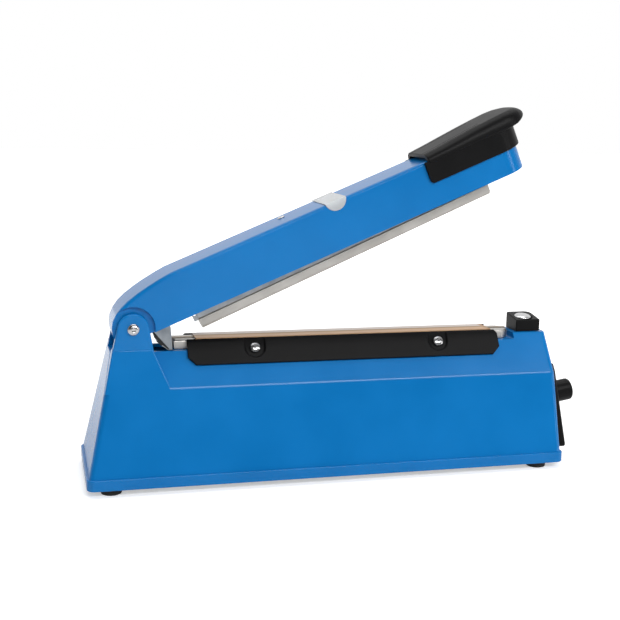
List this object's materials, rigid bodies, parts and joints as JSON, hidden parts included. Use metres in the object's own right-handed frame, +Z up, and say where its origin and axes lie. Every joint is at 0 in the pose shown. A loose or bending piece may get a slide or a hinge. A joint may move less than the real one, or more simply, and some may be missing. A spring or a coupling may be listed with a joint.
{
  "type": "impulse bag sealer",
  "caption": "Hand-operated impulse bag sealer: hinged spring-open arm with a floating pressing bar over a heated, cloth-covered bed on a wedge-shaped base.",
  "frame": {"origin": "centre of the footprint of the bounding box, at the level that the feet stand on", "axes": "+X runs from the hinge end to the timer knob, +Y across to the far side, +Z up"},
  "size_m": [0.3288, 0.08, 0.2355],
  "materials": {
    "blue_abs": "gloss moulded",
    "black_abs": "fine satin moulded",
    "black_rubber": "matt",
    "chrome_plate": "bright plated",
    "zinc_steel": "zinc plated sheet and wire",
    "aluminium": "satin extruded",
    "nichrome": "dull rolled ribbon",
    "ptfe_glass_cloth": "woven, PTFE coated",
    "brass": "machined",
    "grey_silicone": "smooth",
    "clear_lens": "clear moulded",
    "lamp_glass": "clear red",
    "white_nylon": "natural",
    "copper_winding": "enamelled wire under tape",
    "board_laminate": "lacquered circuit board"
  },
  "bodies": {
    "base": {"base_housing": "blue_abs", "bottom_plate": "zinc_steel", "foot_1": "black_rubber", "foot_2": "black_rubber", "foot_3": "black_rubber", "foot_4": "black_rubber", "foot_screw_1": "chrome_plate", "foot_screw_2": "chrome_plate", "foot_screw_3": "chrome_plate", "foot_screw_4": "chrome_plate", "hinge_pin": "chrome_plate", "pin_cap": "chrome_plate", "torsion_spring": "zinc_steel", "sealing_bed": "aluminium", "bed_screw_1": "chrome_plate", "bed_screw_2": "chrome_plate", "heating_element": "nichrome", "element_terminal_rear": "brass", "element_terminal_front": "brass", "ptfe_cloth": "ptfe_glass_cloth", "clamp_strip_near": "black_abs", "clamp_strip_far": "black_abs", "strip_screw_near_rear": "chrome_plate", "strip_screw_near_front": "chrome_plate", "strip_screw_far_rear": "chrome_plate", "strip_screw_far_front": "chrome_plate", "switch_block": "black_abs", "button_spring": "zinc_steel", "microswitch": "black_abs", "control_panel": "black_abs", "panel_screw_near": "chrome_plate", "panel_screw_far": "chrome_plate", "potentiometer": "brass", "cord_grommet": "black_rubber", "transformer_core": "zinc_steel", "transformer_winding": "copper_winding", "transformer_strap": "zinc_steel", "strap_screw_1": "chrome_plate", "strap_screw_2": "chrome_plate", "timer_board": "board_laminate"},
    "arm": {"arm_shell": "blue_abs", "arm_frame": "zinc_steel", "frame_screw": "zinc_steel", "hinge_bush_near": "white_nylon", "hinge_bush_far": "white_nylon", "handle": "black_abs", "handle_screw_1": "chrome_plate", "handle_screw_2": "chrome_plate", "indicator_lens": "clear_lens", "indicator_lamp": "lamp_glass", "bar_spring_rear": "zinc_steel", "bar_spring_front": "zinc_steel"},
    "bar_slide": {"bar_pin": "zinc_steel"},
    "bar": {"pressing_bar": "aluminium", "bar_channel": "zinc_steel", "silicone_strip": "grey_silicone"},
    "knob": {"timer_knob": "black_abs", "knob_shaft": "zinc_steel"},
    "button": {"start_button": "chrome_plate"}
  },
  "joints": [
    {"name": "arm_hinge", "type": "hinge", "parent": "base", "child": "arm", "pos_m": [-0.1341, 0, 0.0982], "axis": [0, 1, 0], "range_deg": [0, 22.9], "stiffness_Nm_per_rad": 1.2, "springref_deg": -40.11, "deforming": ["torsion_spring"]},
    {"name": "bar_lift", "type": "slide", "parent": "arm", "child": "bar_slide", "axis": [-0.3891, 0, 0.9212], "range_m": [0, 0.0103], "deforming": ["bar_spring_rear", "bar_spring_front"]},
    {"name": "bar_rock", "type": "hinge", "parent": "bar_slide", "child": "bar", "pos_m": [-0.00059, 0, 0.15145], "axis": [0, 1, 0], "range_deg": [0, 1.05]},
    {"name": "timer_knob_turn", "type": "hinge", "parent": "base", "child": "knob", "pos_m": [0.14879, -0.012, 0.0447], "axis": [0.9874, 0, 0.1582], "range_deg": [-140, 140]},
    {"name": "start_button_press", "type": "slide", "parent": "base", "child": "button", "axis": [0, 0, -1], "range_m": [0, 0.002], "stiffness_N_per_m": 600, "springref_m": -0.002, "deforming": ["button_spring"]}
  ],
  "couplings": [
    {"joint": "bar_lift", "follows": "arm_hinge", "m_per_rad": 0.02552},
    {"joint": "bar_rock", "follows": "arm_hinge", "ratio": 0.0454}
  ]
}
